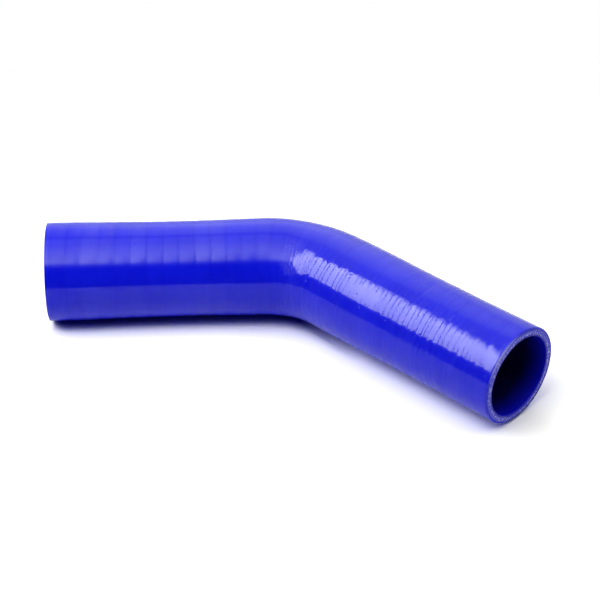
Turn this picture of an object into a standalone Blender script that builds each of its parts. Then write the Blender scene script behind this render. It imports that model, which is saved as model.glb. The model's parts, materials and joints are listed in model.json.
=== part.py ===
"""Silicone elbow hose: two straight legs joined by one bend, moulded as a single hollow piece.

The wall section is drawn as if the hose were straight, turned about the hose's own axis,
and then carried along a centreline of two straight legs and an arc.
Metres, +Z up. Leg A runs along X, the bend turns towards -Y, and the hose lies on the ground.
"""
import math

import bpy
from mathutils import Vector

# Bore and wall
BORE_DIAMETER = 0.045
WALL_THICKNESS = 0.0045

# Legs, each from the point where the two leg axes cross to its cut end
LEG_A_LENGTH = 0.142
LEG_B_LENGTH = 0.1515

# Bend, on the centreline
BEND_ANGLE = math.radians(45)
BEND_RADIUS = 0.057

# Rounding of the cut edges
EDGE_ROUNDING = 0.0004

# Ridges that the winding of the outer ply leaves: each wrap rises slowly and steps down sharply
WRAP_PITCH = 0.0085
WRAP_RISE = 0.0002
WRAP_STEP_LENGTH = 0.0006

# Unevenness of a wall wound by hand, on the outside only
END_FLARE_RISE = 0.0003
END_FLARE_LENGTH = 0.040
WAIST_DEPTH = 0.0006
WAIST_LENGTH = 0.120
WAIST_FROM_END_A = 0.073
SWELL_RISE = 0.0004
SWELL_LENGTH = 0.080
SWELL_PAST_BEND = 0.019

# Fineness of the surface
SEGMENTS_AROUND = 48
EDGE_SEGMENTS = 3
STEP_ANGLE_IN_BEND = math.radians(3)
GUIDE_RESOLUTION = 64
MERGE_DISTANCE = 0.00001

BORE_RADIUS = BORE_DIAMETER / 2
OUTSIDE_RADIUS = BORE_RADIUS + WALL_THICKNESS
BEND_SETBACK = BEND_RADIUS * math.tan(BEND_ANGLE / 2)
STRAIGHT_A = LEG_A_LENGTH - BEND_SETBACK
STRAIGHT_B = LEG_B_LENGTH - BEND_SETBACK
BEND_START = STRAIGHT_A
BEND_END = STRAIGHT_A + BEND_RADIUS * BEND_ANGLE
HOSE_LENGTH = BEND_END + STRAIGHT_B


def clear_scene():
    """Remove whatever the scene holds at the start."""
    for scene_object in list(bpy.data.objects):
        bpy.data.objects.remove(scene_object, do_unlink=True)


def add_collection(name):
    """A new collection in the scene."""
    collection = bpy.data.collections.new(name)
    bpy.context.scene.collection.children.link(collection)
    return collection


def silicone_material():
    """Glossy blue silicone rubber."""
    material = bpy.data.materials.new("blue_silicone")
    material.use_nodes = True
    shader = material.node_tree.nodes["Principled BSDF"]
    shader.inputs["Base Color"].default_value = (0.02, 0.02, 0.72, 1.0)
    shader.inputs["Roughness"].default_value = 0.22
    shader.inputs["Metallic"].default_value = 0.0
    return material


def bell(offset, width):
    """Smooth hump of height 1 at its middle, which reaches 0 at half its width to either side."""
    if abs(offset) >= width / 2:
        return 0.0
    return 0.5 + 0.5 * math.cos(2 * math.pi * offset / width)


def wall_surface(distance):
    """Outside radius without the wrap ridges, at a distance along the hose from end A."""
    flare_a = END_FLARE_RISE * bell(distance, 2 * END_FLARE_LENGTH)
    flare_b = END_FLARE_RISE * bell(HOSE_LENGTH - distance, 2 * END_FLARE_LENGTH)
    waist = WAIST_DEPTH * bell(distance - WAIST_FROM_END_A, WAIST_LENGTH)
    swell = SWELL_RISE * bell(distance - BEND_END - SWELL_PAST_BEND, SWELL_LENGTH)
    return OUTSIDE_RADIUS + flare_a + flare_b - waist + swell


def bend_stations(first, last):
    """Distances strictly between first and last that keep the bend smooth, none on the legs."""
    start = max(first, BEND_START)
    end = min(last, BEND_END)
    if end <= start:
        return []
    steps = math.ceil((end - start) / (BEND_RADIUS * STEP_ANGLE_IN_BEND))
    stations = [start + (end - start) * step / steps for step in range(steps + 1)]
    return [station for station in stations if first < station < last]


def outer_line():
    """Outside of the wall from end A to end B, as (distance, radius) points with a ridge a wrap."""
    count = round(HOSE_LENGTH / WRAP_PITCH)
    pitch = HOSE_LENGTH / count
    points = []
    for wrap in range(count):
        foot = wrap * pitch
        crest = foot + pitch - WRAP_STEP_LENGTH
        points.append((foot, wall_surface(foot)))
        for station in bend_stations(foot, crest):
            rise = WRAP_RISE * (station - foot) / (crest - foot)
            points.append((station, wall_surface(station) + rise))
        points.append((crest, wall_surface(crest) + WRAP_RISE))
    points.append((HOSE_LENGTH, wall_surface(HOSE_LENGTH)))
    return points


def bore_line():
    """Bore from end A to end B, with extra points only where it bends."""
    stations = bend_stations(0.0, HOSE_LENGTH)
    return [(station, BORE_RADIUS) for station in [0.0, *stations, HOSE_LENGTH]]


def rounded_corner(corner, inward, towards):
    """Quarter circle in place of a cut edge.

    inward and towards are the signs of the two ways into the wall, along the hose and across it.
    """
    centre_distance = corner[0] + inward * EDGE_ROUNDING
    centre_radius = corner[1] + towards * EDGE_ROUNDING
    arc = []
    for step in range(EDGE_SEGMENTS + 1):
        angle = math.pi / 2 * step / EDGE_SEGMENTS
        arc.append((
            centre_distance - inward * EDGE_ROUNDING * math.sin(angle),
            centre_radius - towards * EDGE_ROUNDING * math.cos(angle),
        ))
    return arc


def wall_section():
    """Closed outline of the wall: bore to end B, over its cut face, back along the outside."""
    outer = outer_line()
    bore = bore_line()
    end_a_outer = rounded_corner(outer[0], 1, -1)
    end_a_bore = rounded_corner(bore[0], 1, 1)
    end_b_outer = rounded_corner(outer[-1], -1, -1)
    end_b_bore = rounded_corner(bore[-1], -1, 1)
    return [
        *end_a_outer,
        *reversed(end_a_bore),
        *bore[1:-1],
        *end_b_bore,
        *reversed(end_b_outer),
        *reversed(outer[1:-1]),
    ]


def add_centreline(collection):
    """Guide along the hose's axis: leg A, the bend as one arc, leg B."""
    along_a = Vector((1, 0, 0))
    along_b = Vector((math.cos(BEND_ANGLE), -math.sin(BEND_ANGLE), 0))
    crossing = Vector((0, 0, 0))
    end_a = crossing - along_a * LEG_A_LENGTH
    bend_start = crossing - along_a * BEND_SETBACK
    bend_end = crossing + along_b * BEND_SETBACK
    end_b = crossing + along_b * LEG_B_LENGTH
    arc_handle = BEND_RADIUS * 4 / 3 * math.tan(BEND_ANGLE / 4)
    stops = [
        (end_a, end_a - along_a * STRAIGHT_A / 3, end_a + along_a * STRAIGHT_A / 3),
        (bend_start, bend_start - along_a * STRAIGHT_A / 3, bend_start + along_a * arc_handle),
        (bend_end, bend_end - along_b * arc_handle, bend_end + along_b * STRAIGHT_B / 3),
        (end_b, end_b - along_b * STRAIGHT_B / 3, end_b + along_b * STRAIGHT_B / 3),
    ]
    curve = bpy.data.curves.new("centreline", "CURVE")
    curve.dimensions = "3D"
    curve.resolution_u = GUIDE_RESOLUTION
    spline = curve.splines.new("BEZIER")
    spline.bezier_points.add(len(stops) - 1)
    for point, (place, handle_before, handle_after) in zip(spline.bezier_points, stops):
        point.handle_left_type = "FREE"
        point.handle_right_type = "FREE"
        point.co = place
        point.handle_left = handle_before
        point.handle_right = handle_after
    guide = bpy.data.objects.new("centreline", curve)
    guide.hide_render = True
    guide.display_type = "WIRE"
    collection.objects.link(guide)
    return guide


def add_hose(collection, guide):
    """The hose itself: the wall section turned about X and carried along the centreline."""
    section = wall_section()
    mesh = bpy.data.meshes.new("elbow_hose")
    vertices = [(distance, 0.0, radius) for distance, radius in section]
    edges = [(index, (index + 1) % len(section)) for index in range(len(section))]
    mesh.from_pydata(vertices, edges, [])
    mesh.materials.append(silicone_material())
    hose = bpy.data.objects.new("elbow_hose", mesh)
    collection.objects.link(hose)

    turn = hose.modifiers.new("turn_section", "SCREW")
    turn.axis = "X"
    turn.steps = SEGMENTS_AROUND
    turn.render_steps = SEGMENTS_AROUND
    turn.use_merge_vertices = True
    turn.merge_threshold = MERGE_DISTANCE
    turn.use_smooth_shade = True

    bend = hose.modifiers.new("follow_centreline", "CURVE")
    bend.object = guide
    bend.deform_axis = "POS_X"

    normals = hose.modifiers.new("flat_cut_faces", "WEIGHTED_NORMAL")
    normals.keep_sharp = True
    return hose


def rest_on_ground(hose, guide):
    """Move the hose with its guide until the middle of its underside is at the origin."""
    bpy.context.view_layer.update()
    bent = hose.evaluated_get(bpy.context.evaluated_depsgraph_get())
    corners = [Vector(corner) for corner in bent.bound_box]
    low = Vector(map(min, *corners))
    high = Vector(map(max, *corners))
    middle = (low + high) / 2
    shift = Vector((-middle.x, -middle.y, -low.z))
    hose.location = shift
    guide.location = shift


def main():
    """Build the hose."""
    clear_scene()
    parts = add_collection("silicone_elbow_hose")
    guides = add_collection("guides")
    guide = add_centreline(guides)
    hose = add_hose(parts, guide)
    rest_on_ground(hose, guide)


main()
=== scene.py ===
"""Looks of the silicone elbow hose: its fine surface, its materials, and the studio around it.

Metres, +Z up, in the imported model's own frame. Leg A runs along X, and the bend turns towards -Y.
Angles around the hose are in radians, from its top over its +Y side. A pair named AROUND is the
angle of its middle and its spread, and a pair named STRETCH its middle past the bend and its length.
"""
import json
import math

import bpy
import numpy as np
from mathutils import Matrix, Vector


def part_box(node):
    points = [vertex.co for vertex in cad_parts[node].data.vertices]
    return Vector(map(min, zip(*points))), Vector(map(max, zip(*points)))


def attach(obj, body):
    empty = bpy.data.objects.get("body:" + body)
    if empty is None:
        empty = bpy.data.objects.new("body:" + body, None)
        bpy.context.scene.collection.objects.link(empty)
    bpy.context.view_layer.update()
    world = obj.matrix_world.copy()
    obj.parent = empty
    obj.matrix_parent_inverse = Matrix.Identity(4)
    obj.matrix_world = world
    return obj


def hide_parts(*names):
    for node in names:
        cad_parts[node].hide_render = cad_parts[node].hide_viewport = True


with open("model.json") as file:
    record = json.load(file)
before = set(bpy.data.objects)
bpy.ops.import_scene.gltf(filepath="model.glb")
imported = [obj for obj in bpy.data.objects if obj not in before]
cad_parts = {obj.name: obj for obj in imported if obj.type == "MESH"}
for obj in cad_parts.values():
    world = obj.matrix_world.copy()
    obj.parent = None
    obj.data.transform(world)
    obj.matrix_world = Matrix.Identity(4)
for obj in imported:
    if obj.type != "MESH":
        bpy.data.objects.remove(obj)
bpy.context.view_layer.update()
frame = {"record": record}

# Bore and wall
BORE_DIAMETER = 0.045
WALL_THICKNESS = 0.0045

# Legs, each from the point where the two leg axes cross to its cut end
LEG_A_LENGTH = 0.142
LEG_B_LENGTH = 0.1515

# Bend, on the centreline
BEND_ANGLE = math.radians(45)
BEND_RADIUS = 0.057

# Unevenness of a wall wound by hand, on the outside only
END_FLARE_RISE = 0.0003
END_FLARE_LENGTH = 0.040
WAIST_DEPTH = 0.0006
WAIST_LENGTH = 0.120
WAIST_FROM_END_A = 0.073
SWELL_RISE = 0.0004
SWELL_LENGTH = 0.080
SWELL_PAST_BEND = 0.019

# Ridges that the winding of the outer ply leaves: each wrap swells a little, then steps down
WRAP_PITCH = 0.0087
WRAP_OFFSET = 0.0022
WRAP_JITTER = 0.0005
WRAP_SWELL_LOW = 0.00008
WRAP_SWELL_HIGH = 0.00018
WRAP_SWELL_SHARE_ON_B = 0.5
WRAP_SWELL_FADE_BEFORE_BEND = 0.010
WRAP_RISE_LOW = 0.00001
WRAP_RISE_HIGH = 0.00004
WRAP_RISE_AT_WAIST = 0.00010
WRAP_RISE_AT_WAIST_LENGTH = 0.096
WRAP_RISE_POWER = 1.5
WRAP_STEP_LENGTH = 0.0010

# Where the wraps are pressed flat, about the middle of the bend, from end A
FLAT_MIDDLE = 0.140
FLAT_LENGTH = 0.030

# Lean of the wraps: one slow wave round the hose and a quick one, twisted by so much a metre
SLOW_LEAN = 0.0004
SLOW_LEAN_TWIST = 31
QUICK_LEAN = 0.0002
QUICK_LEAN_WAVES = 3
QUICK_LEAN_TWIST = 57
LEAN_END_FADE = 0.006

# Fading of the ridges around the hose: the mean share that is lost, and its twists a metre
RIDGE_LOSS = 0.25
RIDGE_LOSS_WAVES = 2
RIDGE_LOSS_TWIST = 90
RIDGE_LOSS_DRIFT = 40

# Difference in gloss between one wrap and the next
WRAP_SHEEN_SPREAD = 0.17
WRAP_SHEEN_BLEND = 0.0014
WRAP_SHEEN_LOSS_ON_B = 0.6

# Line along the foot of each step, at a share of the step's length, where the cover has painted shade,
# less gloss and more roughness
CREASE_PLACE = 0.7
CREASE_WIDTH = 0.0006
CREASE_LOSS_ON_B = 0.7

# Fine wrinkles between the ridges, made of waves of spread lengths
WRINKLE_LENGTH = 0.0044
WRINKLE_LENGTH_SPREAD = (0.7, 1.5)
WRINKLE_WAVES = 9
WRINKLE_FEWEST_TURNS = 1
WRINKLE_TURNS_BELOW = 5
WRINKLE_END_FADE = 0.004
WRINKLE_HEIGHT_A = 0.000006
WRINKLE_HEIGHT_B = 0.000010

# Where the wrinkles are higher: just past the bend, along leg B, and on the front of leg B
BEND_WRINKLE_HEIGHT = 0.000017
BEND_WRINKLE_STRETCH = (-0.004, 0.060)
LEG_B_WRINKLE_HEIGHT = 0.000016
LEG_B_WRINKLE_STRETCH = (0.060, 0.090)
FRONT_WRINKLE_HEIGHT = 0.000090
FRONT_WRINKLE_STRETCH = (0.100, 0.090)
FRONT_WRINKLE_AROUND = (5.0, 1.2)

# Fine grooves between the wrinkles
GROOVE_SPACING = 0.0031
GROOVE_WIDTH = 0.0005
GROOVE_DEPTH = 0.00008

# Shares of the grooves' depth along the hose, with a rest part of the way down leg B, from end A
GROOVE_SHARE_ON_A = 0.12
GROOVE_SHARE_ON_B = 0.52
GROOVE_SHARE_AT_BEND = 0.15
GROOVE_BEND_STRETCH = (0.006, 0.070)
GROOVE_REST_LOSS = 0.65
GROOVE_REST_MIDDLE = 0.201
GROOVE_REST_LENGTH = 0.046
GROOVE_LEFT_AT_END_B = 0.25
GROOVE_FADE_LENGTH = 0.045

# Small pits where air was trapped under the cover
PIT_SPACING = 0.0065
PIT_RADIUS = 0.0007
PIT_DEPTH = 0.00012

# Cut edges: their rounding, the room that the outside's other rings leave there, and their steps
EDGE_ROUNDING_A = 0.0003
EDGE_ROUNDING_B = 0.0009
BORE_EDGE_ROUNDING = 0.0004
EDGE_ROOM = 1.5 * EDGE_ROUNDING_B
EDGE_STEPS = 5
FACE_STEPS = 8

# Rounded cut edge: a pale painted highlight high on the front, and painted shade where it comes down to
# the floor
LIP_SHARPNESS = 3
PAINTED_HIGHLIGHT_AROUND = (5.6, 1.4)
LIP_SHADED_AROUND = (2.75, 2.4)

# Plies of the cut face
COVER_PLY = 0.0010
LINER_PLY = 0.0009

# Brightness of the yarns of each fabric ply, from the bore outwards
PLY_BRIGHTNESS = (0.7, 1.0, 0.7, 0.3)

# Yarn ends in the cut face, in rings one a ply, moved about by shares of their own room
YARN_SPACING = 0.0019
YARN_RADIUS = 0.00034
YARN_SIZE_SPREAD = (0.75, 1.2)
YARN_STRETCH = 2.0
YARN_JITTER = 0.3
YARN_SHIFT = 0.35
YARN_HEIGHT = 0.00009
YARN_LOWEST_SHARE = 0.5
YARN_PALENESS = (0.2, 1.0)
YARN_PALENESS_POWER = 1.5
YARN_SHARPNESS = 3

# Sunk band that carries the yarn ends
PLY_BAND_DEPTH = 0.0004
PLY_BAND_PROUD = 0.00001
PLY_BAND_EDGE = 0.00015
PLY_BAND_AROUND = 640
PLY_BAND_ACROSS = 22

# Shade on the band next to the cover, where the cut face comes down to the floor
PLY_SHADE_INSET = 0.0010
PLY_SHADE_BLEND = 0.0007
PLY_SHADED_AROUND = (2.5, 2.0)

# Fineness of the surface
AROUND = 144
COARSE_STEP = 0.0008
FINE_STEP = 0.00045
FINE_LENGTH_ON_B = 0.095
STEP_RING_SHARES = (0.0, 0.33, 0.67, 1.0)
RING_CLEARANCE = 0.00025
BORE_STEP = 0.006

# Seeds of the random draws
WALL_SEED = 41
SHEEN_SEED = 43
PLY_BAND_A_SEED = 7
PLY_BAND_B_SEED = 8

BORE_RADIUS = BORE_DIAMETER / 2
OUTSIDE_RADIUS = BORE_RADIUS + WALL_THICKNESS
BEND_SETBACK = BEND_RADIUS * math.tan(BEND_ANGLE / 2)
STRAIGHT_A = LEG_A_LENGTH - BEND_SETBACK
STRAIGHT_B = LEG_B_LENGTH - BEND_SETBACK
BEND_START = STRAIGHT_A
BEND_END = STRAIGHT_A + BEND_RADIUS * BEND_ANGLE
HOSE_LENGTH = BEND_END + STRAIGHT_B

MOUNTS = {mount["name"]: mount for mount in frame["record"]["mounts"]}
LOW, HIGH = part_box("elbow_hose")
AXIS_HEIGHT = (LOW.z + HIGH.z) / 2
END_A = np.array([*MOUNTS["cut_end_a"]["pos_m"][:2], AXIS_HEIGHT])
BEND_START_POINT = END_A + np.array([STRAIGHT_A, 0.0, 0.0])
ARC_CENTRE = BEND_START_POINT - np.array([0.0, BEND_RADIUS, 0.0])
UP = np.array([0.0, 0.0, 1.0])


def bell(offset, width):
    """Smooth hump of height 1 at its middle, which reaches 0 at half its width to either side."""
    inside = np.abs(offset) < width / 2
    return np.where(inside, 0.5 + 0.5 * np.cos(2 * np.pi * offset / width), 0.0)


def smooth(value):
    """Ease from 0 to 1 as the value goes from 0 to 1."""
    value = np.clip(value, 0.0, 1.0)
    return value * value * (3 - 2 * value)


def onto_leg_b(distance):
    """0 on leg A and 1 on leg B, with an ease between them through the bend."""
    return smooth((distance - BEND_START) / (BEND_END - BEND_START))


def past_bend(distance, middle, length):
    """Hump along the hose, whose middle is so far past the bend."""
    return bell(distance - BEND_END - middle, length)


def around(angle, middle, spread):
    """Hump around the hose, with its middle at an angle."""
    return bell(np.mod(angle, 2 * np.pi) - middle, spread)


def to_nearer_end(distance):
    """Distance to the nearer cut end."""
    return np.minimum(distance, HOSE_LENGTH - distance)


def not_pressed_flat(distance):
    """Share of the wraps' height that is left, 0 in the middle of the bend."""
    return 1 - smooth(2 * bell(distance - FLAT_MIDDLE, FLAT_LENGTH))


def wall_surface(distance):
    """Outside radius without ridges, at distances along the hose from end A."""
    flare_a = END_FLARE_RISE * bell(distance, 2 * END_FLARE_LENGTH)
    flare_b = END_FLARE_RISE * bell(HOSE_LENGTH - distance, 2 * END_FLARE_LENGTH)
    waist = WAIST_DEPTH * bell(distance - WAIST_FROM_END_A, WAIST_LENGTH)
    swell = SWELL_RISE * past_bend(distance, SWELL_PAST_BEND, SWELL_LENGTH)
    return OUTSIDE_RADIUS + flare_a + flare_b - waist + swell


def centreline(distance):
    """Points on the hose's axis, the way along it, and the way to its left, at these distances."""
    turned = np.clip((distance - BEND_START) / BEND_RADIUS, 0.0, BEND_ANGLE)
    along = np.stack([np.cos(turned), -np.sin(turned), np.zeros_like(turned)], axis=-1)
    left = np.stack([np.sin(turned), np.cos(turned), np.zeros_like(turned)], axis=-1)
    points = ARC_CENTRE + BEND_RADIUS * left
    before = np.minimum(distance - BEND_START, 0.0)
    after = np.maximum(distance - BEND_END, 0.0)
    points = points + along * (before + after)[..., None]
    return points, along, left


def ring_points(distance, radius, angle):
    """Points at distances along the hose, radii and angles around it, and the way along it there."""
    points, along, left = centreline(distance)
    outward = np.cos(angle)[..., None] * UP + np.sin(angle)[..., None] * left
    return points + radius[..., None] * outward, along


def wrap_edges(draw):
    """Distances of the steps between wraps, the height of each step, and the swell of each wrap.

    The steps are highest on the waist and all but gone in the bend.
    """
    edges = np.arange(WRAP_OFFSET, HOSE_LENGTH - WRAP_PITCH / 2, WRAP_PITCH)
    edges = edges + draw.uniform(-WRAP_JITTER, WRAP_JITTER, edges.size)
    rises = draw.uniform(WRAP_RISE_LOW, WRAP_RISE_HIGH, edges.size)
    rises = rises + WRAP_RISE_AT_WAIST * bell(edges - WAIST_FROM_END_A, WRAP_RISE_AT_WAIST_LENGTH)
    swells = draw.uniform(WRAP_SWELL_LOW, WRAP_SWELL_HIGH, edges.size + 1)
    middles = (np.concatenate([[0.0], edges]) + np.concatenate([edges, [HOSE_LENGTH]])) / 2
    faded = onto_leg_b(middles + WRAP_SWELL_FADE_BEFORE_BEND)
    swells = swells * (1 - (1 - WRAP_SWELL_SHARE_ON_B) * faded) * not_pressed_flat(middles)
    return edges, rises * not_pressed_flat(edges), swells


def wrap_sheen(distance, edges, draw):
    """How glossy each wrap is next to the others, about 1, with a short blend at its edges."""
    sheens = 1 + draw.uniform(-WRAP_SHEEN_SPREAD, WRAP_SHEEN_SPREAD, edges.size + 1)
    places = np.stack([edges - WRAP_SHEEN_BLEND, edges + WRAP_SHEEN_BLEND], axis=1).ravel()
    values = np.stack([sheens[:-1], sheens[1:]], axis=1).ravel()
    kept = 1 - WRAP_SHEEN_LOSS_ON_B * onto_leg_b(distance)
    return 1 + (np.interp(distance, places, values) - 1) * kept


def ridge_height(distance, edges, rises, swells):
    """Height of the wraps at these distances: each swells, rises up to its edge, then steps down."""
    starts = np.concatenate([[0.0], edges])
    ends = np.concatenate([edges, [HOSE_LENGTH]])
    heights = np.concatenate([rises, [0.0]])
    index = np.clip(np.searchsorted(ends, distance), 0, ends.size - 1)
    share = (distance - starts[index]) / (ends[index] - starts[index])
    share = np.clip(share, 0.0, 1.0)
    full = np.minimum((ends[index] - starts[index]) / WRAP_PITCH, 1.0)
    swell = full * swells[index] * 4 * share * (1 - share)
    up = swell + heights[index] * share ** WRAP_RISE_POWER
    fall_from = np.concatenate([[0.0], rises])[index]
    fallen = (distance - starts[index]) / WRAP_STEP_LENGTH
    return up + fall_from * (1 - smooth(fallen))


def ridges_left(distance, angle):
    """Share of the ridges' height that is left, uneven around the hose."""
    loss = np.cos(RIDGE_LOSS_WAVES * angle + distance * RIDGE_LOSS_TWIST)
    return (1 - RIDGE_LOSS) + RIDGE_LOSS * loss * np.cos(angle - distance * RIDGE_LOSS_DRIFT)


def wrap_lean(distance, angle):
    """How far the wraps lean along the hose, fading out at its ends."""
    slow = SLOW_LEAN * np.sin(angle + distance * SLOW_LEAN_TWIST)
    quick = QUICK_LEAN * np.sin(QUICK_LEAN_WAVES * angle + distance * QUICK_LEAN_TWIST)
    return (slow + quick) * smooth(to_nearer_end(distance) / LEAN_END_FADE)


def crease(distance, edges):
    """How near each distance is to the foot of a step, from 0 to 1, fainter on leg B."""
    gaps = np.abs(distance[..., None] - (edges + WRAP_STEP_LENGTH * CREASE_PLACE))
    near = np.exp(-(gaps.min(axis=-1) / CREASE_WIDTH) ** 2)
    return near * (1 - CREASE_LOSS_ON_B * onto_leg_b(distance))


def wavy(distance, angle, draw):
    """Band of seeded waves along the hose, which fade in and out around it, about 1 high."""
    total = np.zeros(np.broadcast(distance, angle).shape)
    for _ in range(WRINKLE_WAVES):
        length = WRINKLE_LENGTH * draw.uniform(*WRINKLE_LENGTH_SPREAD)
        phase, turn_phase = draw.uniform(0, 2 * np.pi, 2)
        turns = draw.integers(WRINKLE_FEWEST_TURNS, WRINKLE_TURNS_BELOW)
        wave = np.sin(2 * np.pi * distance / length + phase)
        total = total + wave * np.cos(turns * angle + turn_phase)
    return total / math.sqrt(WRINKLE_WAVES)


def wrinkle_height(distance, angle):
    """Height of the fine wrinkles: more just past the bend, along leg B, and most on leg B's front."""
    height = WRINKLE_HEIGHT_A + (WRINKLE_HEIGHT_B - WRINKLE_HEIGHT_A) * onto_leg_b(distance)
    height = height + BEND_WRINKLE_HEIGHT * past_bend(distance, *BEND_WRINKLE_STRETCH)
    height = height + LEG_B_WRINKLE_HEIGHT * past_bend(distance, *LEG_B_WRINKLE_STRETCH)
    front = past_bend(distance, *FRONT_WRINKLE_STRETCH) * around(angle, *FRONT_WRINKLE_AROUND)
    height = height + FRONT_WRINKLE_HEIGHT * front
    return height * smooth(to_nearer_end(distance) / WRINKLE_END_FADE)


def outer_radius(distance, angle, wraps, draw):
    """Outside radius at distances along the hose and angles around it."""
    ridges = ridges_left(distance, angle) * ridge_height(distance, *wraps)
    wrinkles = wrinkle_height(distance, angle) * wavy(distance, angle, draw)
    return wall_surface(distance) + ridges + wrinkles


def groove_strength(distance):
    """Depth share of the fine grooves: deepest past the bend, shallow on leg A and at end B."""
    on_b = GROOVE_SHARE_ON_B * onto_leg_b(distance)
    at_bend = GROOVE_SHARE_AT_BEND * past_bend(distance, *GROOVE_BEND_STRETCH)
    rest = 1 - GROOVE_REST_LOSS * bell(distance - GROOVE_REST_MIDDLE, GROOVE_REST_LENGTH)
    to_end_b = smooth((HOSE_LENGTH - distance) / GROOVE_FADE_LENGTH)
    left = GROOVE_LEFT_AT_END_B + (1 - GROOVE_LEFT_AT_END_B) * to_end_b
    return GROOVE_SHARE_ON_A + (on_b + at_bend) * rest * left


def outer_stations(edges):
    """Distances of the rings of vertices on the outside: close together at the steps."""
    coarse = np.arange(0.0, HOSE_LENGTH, COARSE_STEP)
    fine = np.arange(BEND_START, BEND_END + FINE_LENGTH_ON_B, FINE_STEP)
    steps = np.concatenate([edges + share * WRAP_STEP_LENGTH for share in STEP_RING_SHARES])
    stations = np.concatenate([coarse[(coarse < fine[0]) | (coarse > fine[-1])], fine])
    apart = np.abs(stations[:, None] - steps).min(axis=1)
    stations = np.sort(np.concatenate([stations[apart > RING_CLEARANCE], steps]))
    return stations[(stations > EDGE_ROOM) & (stations < HOSE_LENGTH - EDGE_ROOM)]


def quarter_round(from_face):
    """Steps of a rounded edge, as shares of its radius: (into the wall along, into the wall across)."""
    angles = np.linspace(0, np.pi / 2, EDGE_STEPS + 1)
    pairs = [(1 - math.cos(a), 1 - math.sin(a)) for a in angles]
    return pairs if from_face else pairs[::-1]


def hose_rings(edges):
    """Rings of the closed wall in order, each (distance, offset from its radius, kind).

    The offset is from the outer radius for the kind outer, and else from the bore's radius.
    """
    rings = []
    outer_a, outer_b, bore = EDGE_ROUNDING_A, EDGE_ROUNDING_B, BORE_EDGE_ROUNDING
    for along, across in quarter_round(True):
        rings.append((along * outer_a, -across * outer_a, "outer"))
    for station in outer_stations(edges):
        rings.append((station, 0.0, "outer"))
    for along, across in quarter_round(False):
        rings.append((HOSE_LENGTH - along * outer_b, -across * outer_b, "outer"))
    shares = np.linspace(0, 1, FACE_STEPS + 1)[1:-1]
    for share in shares:
        rings.append((HOSE_LENGTH, bore + (WALL_THICKNESS - outer_b - bore) * (1 - share), "face"))
    for along, across in quarter_round(True):
        rings.append((HOSE_LENGTH - along * bore, across * bore, "bore"))
    for station in np.linspace(HOSE_LENGTH - 2 * bore, 2 * bore, int(HOSE_LENGTH / BORE_STEP) + 1):
        rings.append((station, 0.0, "bore"))
    for along, across in quarter_round(False):
        rings.append((along * bore, across * bore, "bore"))
    for share in shares:
        rings.append((0.0, bore + (WALL_THICKNESS - outer_a - bore) * share, "face"))
    return rings


def grid_mesh(name, corners):
    """Mesh of quads over a grid of points (ring, around, xyz), closed along and around."""
    ring_count, around_count = corners.shape[:2]
    index = np.arange(ring_count * around_count).reshape(ring_count, around_count)
    following = np.roll(index, -1, axis=0)
    quads = np.stack([index, np.roll(index, -1, 1), np.roll(following, -1, 1), following], axis=-1)
    mesh = bpy.data.meshes.new(name)
    mesh.from_pydata(corners.reshape(-1, 3).tolist(), [], quads.reshape(-1, 4).tolist())
    mesh.update()
    mesh.shade_smooth()
    return mesh


def add_object(name, mesh):
    """A new object with this mesh, linked to the scene."""
    added = bpy.data.objects.new(name, mesh)
    bpy.context.scene.collection.objects.link(added)
    return added


def float_attribute(mesh, name, values):
    """One number a vertex, for the materials to read."""
    layer = mesh.attributes.new(name, "FLOAT", "POINT")
    layer.data.foreach_set("value", np.asarray(values, np.float32).ravel())


def yarn_ends(angle, radius, inner, outer, draw):
    """Height share and paleness of the cut yarns at angles and radii of the face, 0 between them."""
    raised = np.zeros(angle.shape)
    pale = np.zeros(angle.shape)
    ply_width = (outer - inner) / len(PLY_BRIGHTNESS)
    for ply, brightness in enumerate(PLY_BRIGHTNESS):
        middle = inner + (ply + 0.5) * ply_width
        count = int(2 * np.pi * middle / YARN_SPACING)
        turn = draw.uniform(-YARN_JITTER, YARN_JITTER, count)
        shift = draw.uniform(-YARN_SHIFT, YARN_SHIFT, count) * ply_width / 2
        size = YARN_RADIUS * draw.uniform(*YARN_SIZE_SPREAD, count)
        bright = draw.uniform(*YARN_PALENESS, count) ** YARN_PALENESS_POWER * brightness
        height = YARN_LOWEST_SHARE + (1 - YARN_LOWEST_SHARE) * bright
        own = np.floor(angle / (2 * np.pi) * count).astype(int)
        for neighbour in (-1, 0, 1):
            yarn = (own + neighbour) % count
            centre = (own + neighbour + 0.5 + turn[yarn]) / count * 2 * np.pi
            sideways = radius * (angle - centre) / YARN_STRETCH
            away = np.hypot(sideways, radius - middle - shift[yarn])
            dome = np.clip(1 - (away / size[yarn]) ** 2, 0.0, 1.0)
            raised = np.maximum(raised, np.sqrt(dome) * height[yarn])
            pale = np.maximum(pale, np.clip(dome * YARN_SHARPNESS, 0.0, 1.0) * bright[yarn])
    return raised, pale


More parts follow.
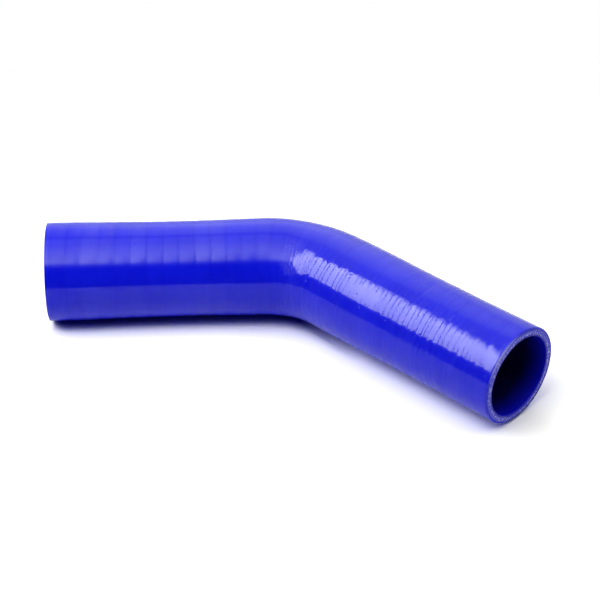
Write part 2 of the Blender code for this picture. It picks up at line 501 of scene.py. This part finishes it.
def build_ply_band(name, at_end_b, material, seed):
    """Closed ring sunk in a cut face, whose top carries the cut ends of the yarns.

    Its rings run from the liner to the cover, then back underneath, and the other way at end A.
    """
    inner = BORE_RADIUS + LINER_PLY
    outer = OUTSIDE_RADIUS - COVER_PLY
    angle = np.linspace(0, 2 * np.pi, PLY_BAND_AROUND, endpoint=False)[None, :]
    radius = np.linspace(inner, outer, PLY_BAND_ACROSS)[:, None]
    angle_grid, radius_grid = np.broadcast_arrays(angle, radius)
    raised, pale = yarn_ends(angle_grid, radius_grid, inner, outer, np.random.default_rng(seed))
    edge = smooth(np.minimum(radius - inner, outer - radius) / PLY_BAND_EDGE)
    underside = np.full((2, PLY_BAND_AROUND), -PLY_BAND_DEPTH)
    proud = np.concatenate([PLY_BAND_PROUD + YARN_HEIGHT * raised * edge, underside])
    pale = np.concatenate([pale * edge, np.zeros_like(underside)])
    rings = np.concatenate([radius_grid, radius_grid[-1:], radius_grid[:1]])
    to_cover = smooth((rings - outer + PLY_SHADE_INSET) / PLY_SHADE_BLEND)
    shaded = to_cover * around(angle, *PLY_SHADED_AROUND)

    outward = 1.0 if at_end_b else -1.0
    order = slice(None) if at_end_b else slice(None, None, -1)
    corners, along = ring_points(np.array(HOSE_LENGTH if at_end_b else 0.0), rings, angle)
    corners = corners + (outward * proud)[..., None] * along
    mesh = grid_mesh(name, corners[order])
    mesh.materials.append(material)
    float_attribute(mesh, "pale", pale[order])
    float_attribute(mesh, "shaded", shaded[order])
    return add_object(name, mesh)


def wall_attributes(mesh, distance, angle, offset, is_outer, edges):
    """What the materials read from the wall: its creases, grooves, sheen, and the painted highlight and
    painted shade on its lips.
    """
    lip = smooth(-LIP_SHARPNESS * offset / EDGE_ROUNDING_B) * is_outer
    whole = np.zeros(np.broadcast(distance, angle).shape)
    values = {
        "crease": crease(distance, edges) * is_outer,
        "wrinkled": groove_strength(distance) * is_outer,
        "painted_lip_highlight": lip * around(angle, *PAINTED_HIGHLIGHT_AROUND),
        "shaded": lip * around(angle, *LIP_SHADED_AROUND),
        "sheen": wrap_sheen(distance, edges, np.random.default_rng(SHEEN_SEED)),
        "inside": to_nearer_end(distance),
    }
    for name, value in values.items():
        float_attribute(mesh, name, value + whole)


def build_wall(outer_material, bore_material, face_material):
    """The whole wall as one closed surface: outside, cut faces and bore."""
    draw = np.random.default_rng(WALL_SEED)
    wraps = wrap_edges(draw)
    edges = wraps[0]
    distances, offsets, kinds = zip(*hose_rings(edges))
    distance = np.array(distances)[:, None]
    offset = np.array(offsets)[:, None]
    is_outer = (np.array(kinds) == "outer")[:, None]
    angle = np.linspace(0, 2 * np.pi, AROUND, endpoint=False)[None, :] + np.pi
    outer = outer_radius(distance, angle, wraps, draw)
    radius = np.where(is_outer, outer + offset, BORE_RADIUS + offset)
    shifted = distance + wrap_lean(distance, angle) * is_outer
    corners, _ = ring_points(shifted, radius, angle)

    mesh = grid_mesh("elbow_hose_wall", corners)
    mesh.flip_normals()
    slots = {"outer": outer_material, "bore": bore_material, "face": face_material}
    for material in slots.values():
        mesh.materials.append(material)
    ring_slots = [list(slots).index(kind) for kind in kinds]
    mesh.polygons.foreach_set("material_index", np.repeat(ring_slots, AROUND).astype(np.int32))
    float_attribute(mesh, "along", shifted)
    wall_attributes(mesh, distance, angle, offset, is_outer, edges)
    return add_object("elbow_hose_wall", mesh)


# Rubber: how much light it bends, and its gloss before each wrap's own sheen
SILICONE_IOR = 1.38
SILICONE_GLOSS = 0.5
YARN_GLOSS = 0.15

# Roughness of each material, before its own noise
COVER_ROUGHNESS = 0.10
BORE_ROUGHNESS = 0.30
CUT_ROUGHNESS = 0.5
YARN_ROUGHNESS = 0.6
CARD_ROUGHNESS = 0.9

# Sockets of the mix node that take and give colours
MIX_FIRST = 6
MIX_SECOND = 7
MIX_RESULT = 2

# Noise of the materials: cells a metre, detail and roughness
COVER_MOTTLE = (45.0, 4.0, 0.6)
COVER_SMEARS = (110.0, 3.0, 0.6)
COVER_PEEL = (700.0, 2.0, 0.5)
PAINTED_HIGHLIGHT_PATCHES = (900.0, 2.0, 0.5)
LINER_MOTTLE = (60.0, 4.0, 0.6)
LINER_WEAVE = (700.0, 2.0, 0.5)
KNIFE_MARKS = (1500.0, 3.0, 0.5)
YARN_FIBRES = (2600.0, 2.0, 0.5)

# Noise of the streaks that run round the hose, which has its own cells a metre along and across
STREAKS = (1.0, 3.0, 0.5)
STREAK_CELLS_ALONG = 900.0
STREAK_CELLS_ACROSS = 60.0

# Ranges: the values that a noise, a height or a distance is taken between, and what they become
MOTTLE_RANGE = (0.3, 0.7, 0.0, 1.0)
DUST_RANGE = (0.50, 0.66, 0.0, 0.65)
DUST_BY_HEIGHT = (0.018, 0.046, 1.0, 0.25)
PAINTED_HIGHLIGHT_RANGE = (0.35, 0.65, 0.6, 1.0)
SMEAR_ROUGHNESS = (0.35, 0.7, 0.05, 0.10)
STREAK_ROUGHNESS = (0.4, 0.7, 0.0, 0.03)
LINER_ROUGHNESS = (0.3, 0.7, 0.30, 0.42)
BORE_DEPTH_RANGE = (0.022, 0.055, 0.0, 1.0)
BORE_MOUTH_RANGE = (0.001, 0.013, 1.0, 0.0)
KNIFE_RANGE = (0.35, 0.65, 0.0, 1.0)
LIP_OCCLUSION_RANGE = (0.50, 0.85, 0.75, 0.0)

# Reach of the painted shade on the cut face where it comes down to the floor
LIP_REACH = 0.005

# Bumps: height in metres and strength
PEEL_BUMP = (0.00002, 0.45)
STREAK_BUMP = (0.00002, 0.60)
GROOVE_BUMP = (GROOVE_DEPTH, 1.0)
PIT_BUMP = (PIT_DEPTH, 1.0)
WEAVE_BUMP = (0.00003, 0.4)
KNIFE_BUMP = (0.00005, 0.5)
FIBRE_BUMP = (0.00006, 0.5)

# What a crease, the painted shade by the floor and the painted lip highlight do to the cover
CREASE_COLOUR_SHARE = 0.12
CREASE_GLOSS_LOSS = 0.10
CREASE_ROUGHNESS = 0.04
SHADE_GLOSS_LOSS = 0.35
PAINTED_HIGHLIGHT_ROUGHNESS = 0.3

# Colours of the cover
COVER_DEEP = (0.0030, 0.0060, 0.68)
COVER_BRIGHT = (0.0050, 0.0100, 0.76)
# Painted shade in the creases
COVER_CREASE_PAINTED_SHADE = (0.002, 0.003, 0.50)
COVER_DUSTY = (0.045, 0.050, 0.86)
# Pale painted highlight on the front of the cut lip
COVER_PAINTED_HIGHLIGHT = (0.50, 0.51, 1.0)
COVER_SHADED = (0.002, 0.003, 0.10)

# Colours of the bore's liner: painted shade, far darker than the cover and darkest far inside, giving
# way to nearly the cover's blue at the mouths
LINER_DEEP = (0.0010, 0.0014, 0.06)
LINER_BRIGHT = (0.0014, 0.0020, 0.09)
LINER_PAINTED_SHADE_FAR_INSIDE = (0.0003, 0.0004, 0.012)
LINER_AT_MOUTH = (0.0025, 0.0035, 0.66)

# Colours of the cut face
# Cut silicone, painted darker than the cover as painted shade
CUT_DEEP = (0.003, 0.004, 0.30)
CUT_BRIGHT = (0.008, 0.010, 0.45)
BAND_RUBBER_DEEP = (0.05, 0.05, 0.66)
BAND_RUBBER_BRIGHT = (0.11, 0.11, 0.86)
YARN_DULL = (0.55, 0.57, 1.0)
YARN_BRIGHT = (0.90, 0.92, 1.0)
# Painted shade on the ply band, where it is shut in near the floor and next to the cover low down
BAND_PAINTED_SHADE_BY_FLOOR = (0.01, 0.01, 0.12)
BAND_SHADED = (0.004, 0.005, 0.10)


def principled(name, roughness, specular):
    """A new material that bends light as rubber does, with its node tree and shader."""
    material = bpy.data.materials.new(name)
    material.use_nodes = True
    shader = material.node_tree.nodes["Principled BSDF"]
    shader.inputs["Roughness"].default_value = roughness
    shader.inputs["Specular IOR Level"].default_value = specular
    shader.inputs["IOR"].default_value = SILICONE_IOR
    return material, material.node_tree, shader


def object_place(tree):
    """Place in the object's own axes."""
    return tree.nodes.new("ShaderNodeTexCoord").outputs["Object"]


def split_axes(tree, vector):
    """Outputs X, Y and Z of a vector."""
    node = tree.nodes.new("ShaderNodeSeparateXYZ")
    tree.links.new(vector, node.inputs["Vector"])
    return node.outputs


def noise(tree, vector, scale, detail, roughness):
    """Fac output of a noise texture at so many cells a metre."""
    node = tree.nodes.new("ShaderNodeTexNoise")
    node.inputs["Scale"].default_value = scale
    node.inputs["Detail"].default_value = detail
    node.inputs["Roughness"].default_value = roughness
    tree.links.new(vector, node.inputs["Vector"])
    return node.outputs["Fac"]


def map_range(tree, value, low, high, to_low, to_high):
    """Value moved from one range to another, and held there."""
    node = tree.nodes.new("ShaderNodeMapRange")
    for name, number in zip(("From Min", "From Max", "To Min", "To Max"), (low, high, to_low, to_high)):
        node.inputs[name].default_value = number
    tree.links.new(value, node.inputs["Value"])
    return node.outputs["Result"]


def mix_colour(tree, factor, first, second):
    """Mix of two colours, each a tuple or an output."""
    node = tree.nodes.new("ShaderNodeMix")
    node.data_type = "RGBA"
    tree.links.new(factor, node.inputs["Factor"])
    for socket, colour in ((node.inputs[MIX_FIRST], first), (node.inputs[MIX_SECOND], second)):
        if isinstance(colour, tuple):
            socket.default_value = (*colour, 1.0)
        else:
            tree.links.new(colour, socket)
    return node.outputs[MIX_RESULT]


def maths(tree, operation, first, second):
    """A maths node on two values, each a number or an output."""
    node = tree.nodes.new("ShaderNodeMath")
    node.operation = operation
    for socket, value in zip(node.inputs, (first, second)):
        if isinstance(value, (int, float)):
            socket.default_value = value
        else:
            tree.links.new(value, socket)
    return node.outputs["Value"]


def attribute(tree, name):
    """Fac output of a vertex attribute."""
    node = tree.nodes.new("ShaderNodeAttribute")
    node.attribute_name = name
    return node.outputs["Fac"]


def occlusion(tree, reach):
    """How open a place is within a reach: 1 in the open, 0 shut in."""
    node = tree.nodes.new("ShaderNodeAmbientOcclusion")
    node.inputs["Distance"].default_value = reach
    return node.outputs["AO"]


def bump(tree, height, distance, strength, shader, before=None):
    """Bump from a height output, in metres, on the shader."""
    node = tree.nodes.new("ShaderNodeBump")
    node.inputs["Strength"].default_value = strength
    node.inputs["Distance"].default_value = distance
    tree.links.new(height, node.inputs["Height"])
    if before is not None:
        tree.links.new(before, node.inputs["Normal"])
    tree.links.new(node.outputs["Normal"], shader.inputs["Normal"])
    return node.outputs["Normal"]


def around_streaks(tree, position):
    """Streaks that run round the hose, as the wrapping tape leaves them: noise of the distance along."""
    axes = split_axes(tree, position)
    join = tree.nodes.new("ShaderNodeCombineXYZ")
    along = maths(tree, "MULTIPLY", attribute(tree, "along"), STREAK_CELLS_ALONG)
    tree.links.new(along, join.inputs["X"])
    tree.links.new(maths(tree, "MULTIPLY", axes["Z"], STREAK_CELLS_ACROSS), join.inputs["Y"])
    tree.links.new(maths(tree, "MULTIPLY", axes["Y"], STREAK_CELLS_ACROSS), join.inputs["Z"])
    return noise(tree, join.outputs["Vector"], *STREAKS)


def fine_grooves(tree):
    """Height of fine grooves that run round the hose at uneven distances: 0 in a groove, 1 between."""
    cells = tree.nodes.new("ShaderNodeTexVoronoi")
    cells.voronoi_dimensions = "1D"
    cells.feature = "DISTANCE_TO_EDGE"
    cells.inputs["Scale"].default_value = 1 / GROOVE_SPACING
    tree.links.new(attribute(tree, "along"), cells.inputs["W"])
    half_width = GROOVE_WIDTH / GROOVE_SPACING / 2
    shape = map_range(tree, cells.outputs["Distance"], 0.0, half_width, 1.0, 0.0)
    depth = maths(tree, "MULTIPLY", shape, attribute(tree, "wrinkled"))
    return maths(tree, "SUBTRACT", 1.0, depth)


def sparse_pits(tree, position):
    """Height of a few small round pits: 0 in the middle of a pit, 1 outside."""
    cells = tree.nodes.new("ShaderNodeTexVoronoi")
    cells.inputs["Scale"].default_value = 1 / PIT_SPACING
    tree.links.new(position, cells.inputs["Vector"])
    return map_range(tree, cells.outputs["Distance"], 0.0, PIT_RADIUS / PIT_SPACING, 0.0, 1.0)


def cover_dust(tree, position, streaks):
    """Share of pale dust in the streaks of the wrinkled stretches, more of it low down."""
    dusty = map_range(tree, streaks, *DUST_RANGE)
    dusty = maths(tree, "MULTIPLY", dusty, attribute(tree, "wrinkled"))
    low = map_range(tree, split_axes(tree, position)["Z"], *DUST_BY_HEIGHT)
    return maths(tree, "MULTIPLY", dusty, low)


def cover_colour(tree, position, streaks):
    """Deep blue, mottled, with painted shade in the creases, dusty in the wrinkles, a pale painted
    highlight high on the front of the cut lip, and painted shade on the lip by the floor.
    """
    mottle = map_range(tree, noise(tree, position, *COVER_MOTTLE), *MOTTLE_RANGE)
    colour = mix_colour(tree, mottle, COVER_DEEP, COVER_BRIGHT)
    # Painted shade darkens the creases
    creased = maths(tree, "MULTIPLY", attribute(tree, "crease"), CREASE_COLOUR_SHARE)
    colour = mix_colour(tree, creased, colour, COVER_CREASE_PAINTED_SHADE)
    colour = mix_colour(tree, cover_dust(tree, position, streaks), colour, COVER_DUSTY)
    # Pale painted highlight in patches on the front of the cut lip
    patchy = map_range(tree, noise(tree, position, *PAINTED_HIGHLIGHT_PATCHES), *PAINTED_HIGHLIGHT_RANGE)
    painted_lip_highlight = maths(tree, "MULTIPLY", attribute(tree, "painted_lip_highlight"), patchy)
    colour = mix_colour(tree, painted_lip_highlight, colour, COVER_PAINTED_HIGHLIGHT)
    return mix_colour(tree, attribute(tree, "shaded"), colour, COVER_SHADED)


def cover_gloss(tree):
    """Gloss of each wrap, less in the creases and in the shade by the floor."""
    gloss = maths(tree, "MULTIPLY", attribute(tree, "sheen"), SILICONE_GLOSS)
    creased = maths(tree, "MULTIPLY", attribute(tree, "crease"), CREASE_GLOSS_LOSS)
    shaded = maths(tree, "MULTIPLY", attribute(tree, "shaded"), SHADE_GLOSS_LOSS)
    return maths(tree, "SUBTRACT", maths(tree, "SUBTRACT", gloss, creased), shaded)


def cover_roughness(tree, position, streaks):
    """Roughness of the cover: smeared and streaked, more in the creases and where the lip highlight is
    painted.
    """
    smears = map_range(tree, noise(tree, position, *COVER_SMEARS), *SMEAR_ROUGHNESS)
    creased = maths(tree, "MULTIPLY", attribute(tree, "crease"), CREASE_ROUGHNESS)
    painted_lip_highlight = maths(tree, "MULTIPLY", attribute(tree, "painted_lip_highlight"), PAINTED_HIGHLIGHT_ROUGHNESS)
    dull = maths(tree, "ADD", smears, creased)
    dull = maths(tree, "ADD", dull, map_range(tree, streaks, *STREAK_ROUGHNESS))
    return maths(tree, "ADD", dull, painted_lip_highlight)


def cover_material():
    """Glossy blue silicone cover: deep colour, faint mottling, tape streaks, grooves, dulled creases
    darkened with painted shade, and a painted highlight and painted shade on the cut lip.
    """
    material, tree, shader = principled("blue_silicone_cover", COVER_ROUGHNESS, SILICONE_GLOSS)
    position = object_place(tree)
    streaks = around_streaks(tree, position)
    tree.links.new(cover_colour(tree, position, streaks), shader.inputs["Base Color"])
    tree.links.new(cover_gloss(tree), shader.inputs["Specular IOR Level"])
    tree.links.new(cover_roughness(tree, position, streaks), shader.inputs["Roughness"])
    bumped = bump(tree, noise(tree, position, *COVER_PEEL), *PEEL_BUMP, shader)
    bumped = bump(tree, streaks, *STREAK_BUMP, shader, bumped)
    bumped = bump(tree, fine_grooves(tree), *GROOVE_BUMP, shader, bumped)
    bump(tree, sparse_pits(tree, position), *PIT_BUMP, shader, bumped)
    return material


def liner_material():
    """Smooth blue silicone of the bore, darkened with painted shade and darkest far inside, and as
    bright as the cover at its mouths.
    """
    material, tree, shader = principled("blue_silicone_liner", BORE_ROUGHNESS, SILICONE_GLOSS)
    position = object_place(tree)
    mottle = noise(tree, position, *LINER_MOTTLE)
    colour = mix_colour(tree, map_range(tree, mottle, *MOTTLE_RANGE), LINER_DEEP, LINER_BRIGHT)
    inside = attribute(tree, "inside")
    colour = mix_colour(tree, map_range(tree, inside, *BORE_DEPTH_RANGE), colour, LINER_PAINTED_SHADE_FAR_INSIDE)
    colour = mix_colour(tree, map_range(tree, inside, *BORE_MOUTH_RANGE), colour, LINER_AT_MOUTH)
    tree.links.new(colour, shader.inputs["Base Color"])
    tree.links.new(map_range(tree, mottle, *LINER_ROUGHNESS), shader.inputs["Roughness"])
    bump(tree, noise(tree, position, *LINER_WEAVE), *WEAVE_BUMP, shader)
    return material


def cut_material():
    """Cut silicone of the cover and liner at the face: matt blue with faint knife marks, painted darker
    than the cover as painted shade.
    """
    material, tree, shader = principled("blue_silicone_cut", CUT_ROUGHNESS, SILICONE_GLOSS)
    marks = noise(tree, object_place(tree), *KNIFE_MARKS)
    colour = mix_colour(tree, map_range(tree, marks, *KNIFE_RANGE), CUT_DEEP, CUT_BRIGHT)
    tree.links.new(colour, shader.inputs["Base Color"])
    bump(tree, marks, *KNIFE_BUMP, shader)
    return material


def yarn_material():
    """Cut plies: pale yarn ends in blue-grey rubber, with painted shade by the floor."""
    material, tree, shader = principled("cut_yarns", YARN_ROUGHNESS, YARN_GLOSS)
    fibres = noise(tree, object_place(tree), *YARN_FIBRES)
    rubber = mix_colour(tree, fibres, BAND_RUBBER_DEEP, BAND_RUBBER_BRIGHT)
    yarn = mix_colour(tree, fibres, YARN_DULL, YARN_BRIGHT)
    colour = mix_colour(tree, attribute(tree, "pale"), rubber, yarn)
    low = map_range(tree, occlusion(tree, LIP_REACH), *LIP_OCCLUSION_RANGE)
    colour = mix_colour(tree, low, colour, BAND_PAINTED_SHADE_BY_FLOOR)
    colour = mix_colour(tree, attribute(tree, "shaded"), colour, BAND_SHADED)
    tree.links.new(colour, shader.inputs["Base Color"])
    bump(tree, fibres, *FIBRE_BUMP, shader)
    return material


# Points that the studio is set out from: under the bend's start, on the front of leg B, under leg A
FLOOR_POINT = Vector((BEND_START_POINT[0], BEND_START_POINT[1], 0.0))
LEG_B_FRONT = FLOOR_POINT + Vector((0.05, -0.06, 0.045))
LEG_A_POINT = FLOOR_POINT + Vector((-0.11, 0.0, 0.0))

# Floor, whose colour where it is looked at is above 1, so that it burns out to white
FLOOR_HALF_SIZE = 6.0
FLOOR_GAP = 0.0002
FLOOR_COLOUR = 0.90
FLOOR_COLOUR_SEEN = (1.45, 1.45, 1.38)
FLOOR_IN_REFLECTION = 0.1

# Distances from the middle between which the floor turns as white as the world in the camera's view
FAR_FLOOR_RANGE = (0.26, 0.36, 0.0, 1.0)

# Blue shade on the floor close under leg A, by how open the place is, and where along X it ends
CONTACT_REACH = 0.012
CONTACT_COLOUR = (0.03, 0.04, 0.42)
CONTACT_RANGE = (0.15, 0.50, 0.0, 1.0)
CONTACT_END_RANGE = (0.004, 0.036, 0.0, 1.0)

# World: its strength where it only gives light, and its brighter part overhead
FILL_STRENGTH = 0.10
CEILING_RANGE = (0.88, 0.94, 1.0, 2.2)
WHITE = (1.0, 1.0, 1.0, 1.0)


def direction(azimuth, elevation):
    """Unit vector at an azimuth in degrees from -Y, positive towards +X, and an elevation in degrees."""
    a, e = math.radians(azimuth), math.radians(elevation)
    return Vector((math.sin(a) * math.cos(e), -math.cos(a) * math.cos(e), math.sin(e)))


def away_from(point, distance, azimuth, elevation):
    """Place at a distance from a point, in a direction."""
    return point + distance * direction(azimuth, elevation)


def across_and_up(away):
    """Level way across and the way up, square to a way out."""
    across = Vector((0, 0, 1)).cross(away).normalized()
    return across, away.cross(across)


def placed(centre, across, upward, away):
    """Matrix of an object at a centre, with its X, Y and Z these three ways."""
    turn = Matrix((across, upward, away)).transposed().to_4x4()
    return Matrix.Translation(centre) @ turn


def inner_fade(tree, distance, width):
    """0 at a panel's edge, and 1 from so far inside it."""
    node = tree.nodes.new("ShaderNodeMapRange")
    node.interpolation_type = "SMOOTHSTEP"
    node.inputs["From Max"].default_value = width
    tree.links.new(distance, node.inputs["Value"])
    return node.outputs["Result"]


def bare_material(name):
    """A new material with no nodes, and its tree."""
    material = bpy.data.materials.new(name)
    material.use_nodes = True
    material.node_tree.nodes.clear()
    return material, material.node_tree


def mixed_surface(tree, factor, first, second):
    """Put a mix of two shaders on the surface."""
    mixed = tree.nodes.new("ShaderNodeMixShader")
    tree.links.new(factor, mixed.inputs["Fac"])
    tree.links.new(first, mixed.inputs[1])
    tree.links.new(second, mixed.inputs[2])
    output = tree.nodes.new("ShaderNodeOutputMaterial")
    tree.links.new(mixed.outputs["Shader"], output.inputs["Surface"])


def glow_material(name, width, height, strengths, soft, taper, gloss):
    """Light of a panel, which fades to nothing at its edges."""
    material, tree = bare_material(name)
    axes = split_axes(tree, object_place(tree))
    from_side = maths(tree, "SUBTRACT", width / 2, maths(tree, "ABSOLUTE", axes["X"], 0.0))
    from_bottom = maths(tree, "ADD", axes["Y"], height / 2)
    lower = map_range(tree, axes["X"], -width / 2, width / 2, 0.0, taper * height)
    from_top = maths(tree, "SUBTRACT", maths(tree, "SUBTRACT", height, lower), from_bottom)
    glow = map_range(tree, from_bottom, 0.0, height, *strengths)
    reflected = tree.nodes.new("ShaderNodeLightPath").outputs["Is Glossy Ray"]
    glow = maths(tree, "MULTIPLY", glow, map_range(tree, reflected, 0.0, 1.0, 1.0, gloss))
    shown = inner_fade(tree, from_side, soft[0])
    shown = maths(tree, "MULTIPLY", shown, inner_fade(tree, from_bottom, soft[1]))
    shown = maths(tree, "MULTIPLY", shown, inner_fade(tree, from_top, soft[2]))
    emission = tree.nodes.new("ShaderNodeEmission")
    tree.links.new(glow, emission.inputs["Strength"])
    clear = tree.nodes.new("ShaderNodeBsdfTransparent")
    mixed_surface(tree, shown, clear.outputs["BSDF"], emission.outputs["Emission"])
    return material


def panel(name, centre, facing, width, height, strengths, soft, taper=0.0, gloss=1.0):
    """Flat glowing panel that faces a point, unseen by the camera, with edges that fade to nothing.

    strengths are at its bottom and top, soft the widths of the fade at its sides, bottom and top.
    taper is the share of its height that is missing at its +X end, and gloss is how many times
    brighter than that a reflection shows it.
    """
    mesh = bpy.data.meshes.new(name)
    half = [(-1, -1), (1, -1), (1, 1), (-1, 1)]
    mesh.from_pydata([(x * width / 2, y * height / 2, 0) for x, y in half], [], [(0, 1, 2, 3)])
    mesh.materials.append(glow_material(name, width, height, strengths, soft, taper, gloss))
    light = add_object(name, mesh)
    away = (centre - facing).normalized()
    light.matrix_world = placed(centre, *across_and_up(away), away)
    light.visible_camera = False
    light.visible_shadow = False


def flag(name, start, end, height, fade, shade):
    """Dark card that stands on the floor between two points, unseen by the camera.

    It thins out to nothing over the last part of its height, which is fade long.
    """
    mesh = bpy.data.meshes.new(name)
    low = [(*start, 0.0), (*end, 0.0)]
    high = [(*end, height), (*start, height)]
    mesh.from_pydata(low + high, [], [(0, 1, 2, 3)])
    material, tree, shader = principled(name, CARD_ROUGHNESS, specular=0.0)
    shader.inputs["Base Color"].default_value = (shade, shade, shade, 1.0)
    from_top = maths(tree, "SUBTRACT", height, split_axes(tree, object_place(tree))["Z"])
    tree.links.new(inner_fade(tree, from_top, fade), shader.inputs["Alpha"])
    mesh.materials.append(material)
    card = add_object(name, mesh)
    card.location = FLOOR_POINT
    card.visible_camera = False


def looked_at(tree, in_reflection=1.0):
    """1 for a ray from the camera or a transmission, in_reflection for a reflection, 0 for any other."""
    rays = tree.nodes.new("ShaderNodeLightPath")
    reflected = maths(tree, "MULTIPLY", rays.outputs["Is Glossy Ray"], in_reflection)
    seen = maths(tree, "MAXIMUM", rays.outputs["Is Camera Ray"], reflected)
    return maths(tree, "MAXIMUM", seen, rays.outputs["Is Transmission Ray"])


def floor_colour(tree, place):
    """Pale in the light that it throws back, white where it is looked at, and a painted blue shadow
    close under leg A.
    """
    looked = looked_at(tree, FLOOR_IN_REFLECTION)
    join = tree.nodes.new("ShaderNodeCombineColor")
    for channel, seen in zip(("Red", "Green", "Blue"), FLOOR_COLOUR_SEEN):
        tree.links.new(map_range(tree, looked, 0.0, 1.0, FLOOR_COLOUR, seen), join.inputs[channel])
    # Painted blue shadow under leg A, by how shut in the floor is there
    clear = map_range(tree, occlusion(tree, CONTACT_REACH), *CONTACT_RANGE)
    past_leg_a = map_range(tree, split_axes(tree, place)["X"], *CONTACT_END_RANGE)
    clear = maths(tree, "MAXIMUM", clear, past_leg_a)
    return mix_colour(tree, clear, CONTACT_COLOUR, join.outputs["Color"])


def floor_material():
    """Plain matt floor, which the camera sees far from the hose as white as the world."""
    material, tree = bare_material("floor")
    place = object_place(tree)
    matt = tree.nodes.new("ShaderNodeBsdfDiffuse")
    tree.links.new(floor_colour(tree, place), matt.inputs["Color"])
    away = tree.nodes.new("ShaderNodeVectorMath")
    away.operation = "LENGTH"
    tree.links.new(place, away.inputs[0])
    far = map_range(tree, away.outputs["Value"], *FAR_FLOOR_RANGE)
    far = maths(tree, "MULTIPLY", far, looked_at(tree, 0.0))
    white = tree.nodes.new("ShaderNodeEmission")
    mixed_surface(tree, far, matt.outputs["BSDF"], white.outputs["Emission"])
    return material


def floor():
    """Plain floor, just under the hose."""
    mesh = bpy.data.meshes.new("floor")
    size = FLOOR_HALF_SIZE
    corners = [(-size, -size, 0), (size, -size, 0), (size, size, 0), (-size, size, 0)]
    mesh.from_pydata(corners, [], [(0, 1, 2, 3)])
    mesh.materials.append(floor_material())
    plane = add_object("floor", mesh)
    plane.location = (0, 0, -FLOOR_GAP)


def surroundings():
    """World: white all round, brighter overhead, and dim where it only gives light."""
    world = bpy.data.worlds.new("studio")
    bpy.context.scene.world = world
    world.use_nodes = True
    tree = world.node_tree
    background = tree.nodes["Background"]
    way = tree.nodes.new("ShaderNodeTexCoord").outputs["Generated"]
    ceiling = map_range(tree, split_axes(tree, way)["Z"], *CEILING_RANGE)
    fill = map_range(tree, looked_at(tree), 0.0, 1.0, FILL_STRENGTH, 1.0)
    tree.links.new(maths(tree, "MULTIPLY", ceiling, fill), background.inputs["Strength"])
    background.inputs["Color"].default_value = WHITE


def softboxes():
    """Soft light from the left, from above, from the right and from behind."""
    panel(
        "softbox_left",
        centre=away_from(LEG_B_FRONT, distance=0.9, azimuth=-86.5, elevation=43.2),
        facing=LEG_B_FRONT,
        width=0.63,
        height=0.76,
        strengths=(2.2, 4.5),
        soft=(0.02, 0.01, 0.18),
        taper=0.20,
        gloss=3.6,
    )
    panel(
        "softbox_above",
        centre=away_from(LEG_A_POINT, distance=1.0, azimuth=0, elevation=79),
        facing=FLOOR_POINT,
        width=0.90,
        height=1.35,
        strengths=(6.8, 0.7),
        soft=(0.40, 0.30, 0.35),
        gloss=0.95,
    )
    panel(
        "softbox_right",
        centre=away_from(LEG_B_FRONT, distance=1.0, azimuth=75, elevation=45),
        facing=LEG_B_FRONT,
        width=0.5,
        height=0.5,
        strengths=(3.1, 3.1),
        soft=(0.05, 0.05, 0.05),
    )
    panel(
        "softbox_back",
        centre=away_from(FLOOR_POINT, distance=1.3, azimuth=178, elevation=38),
        facing=FLOOR_POINT,
        width=0.8,
        height=1.30,
        strengths=(2.8, 2.8),
        soft=(0.28, 0.20, 0.25),
        gloss=0.60,
    )


def dark_cards():
    """Cards that the hose reflects: a dark one in front, and a low grey one to the left."""
    flag("dark_card_front", start=(-0.30, -0.46), end=(0.20, -0.37), height=0.60, fade=0.28, shade=0.02)
    flag("dark_card_left", start=(-0.36, 0.12), end=(-0.30, -0.46), height=0.20, fade=0.06, shade=0.28)


# Camera, fitted to the photograph's outline: angles in degrees, but the roll in radians
CAMERA_AZIMUTH = -1.4175
CAMERA_ELEVATION = 35.069
CAMERA_ROLL = -0.0122748
CAMERA_DISTANCE = 1.15182
CAMERA_FOCAL_PIXELS = 2032.789
CAMERA_AIM = (0.020983, 0.004817)
PHOTO_WIDTH = 600
SENSOR_WIDTH = 36.0
CLIP_START = 0.01
CLIP_END = 50.0


def camera():
    """Camera at the photograph's viewing angle."""
    data = bpy.data.cameras.new("camera")
    data.sensor_width = SENSOR_WIDTH
    data.lens = CAMERA_FOCAL_PIXELS / PHOTO_WIDTH * SENSOR_WIDTH
    data.clip_start = CLIP_START
    data.clip_end = CLIP_END
    eye = add_object("camera", data)
    floor_rise = AXIS_HEIGHT - OUTSIDE_RADIUS
    aim = FLOOR_POINT + Vector((*CAMERA_AIM, floor_rise))
    away = direction(CAMERA_AZIMUTH, CAMERA_ELEVATION)
    across, upward = across_and_up(away)
    cos_roll, sin_roll = math.cos(CAMERA_ROLL), math.sin(CAMERA_ROLL)
    across_rolled = cos_roll * across + sin_roll * upward
    up_rolled = cos_roll * upward - sin_roll * across
    eye.matrix_world = placed(aim + away * CAMERA_DISTANCE, across_rolled, up_rolled, away)
    bpy.context.scene.camera = eye


bpy.context.scene.view_settings.view_transform = "Standard"
wall = build_wall(cover_material(), liner_material(), cut_material())
yarns = yarn_material()
ply_band_a = build_ply_band("ply_band_a", False, yarns, PLY_BAND_A_SEED)
ply_band_b = build_ply_band("ply_band_b", True, yarns, PLY_BAND_B_SEED)
for piece in (wall, ply_band_a, ply_band_b):
    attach(piece, "root")
    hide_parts("elbow_hose")

floor()
surroundings()
softboxes()
dark_cards()
camera()
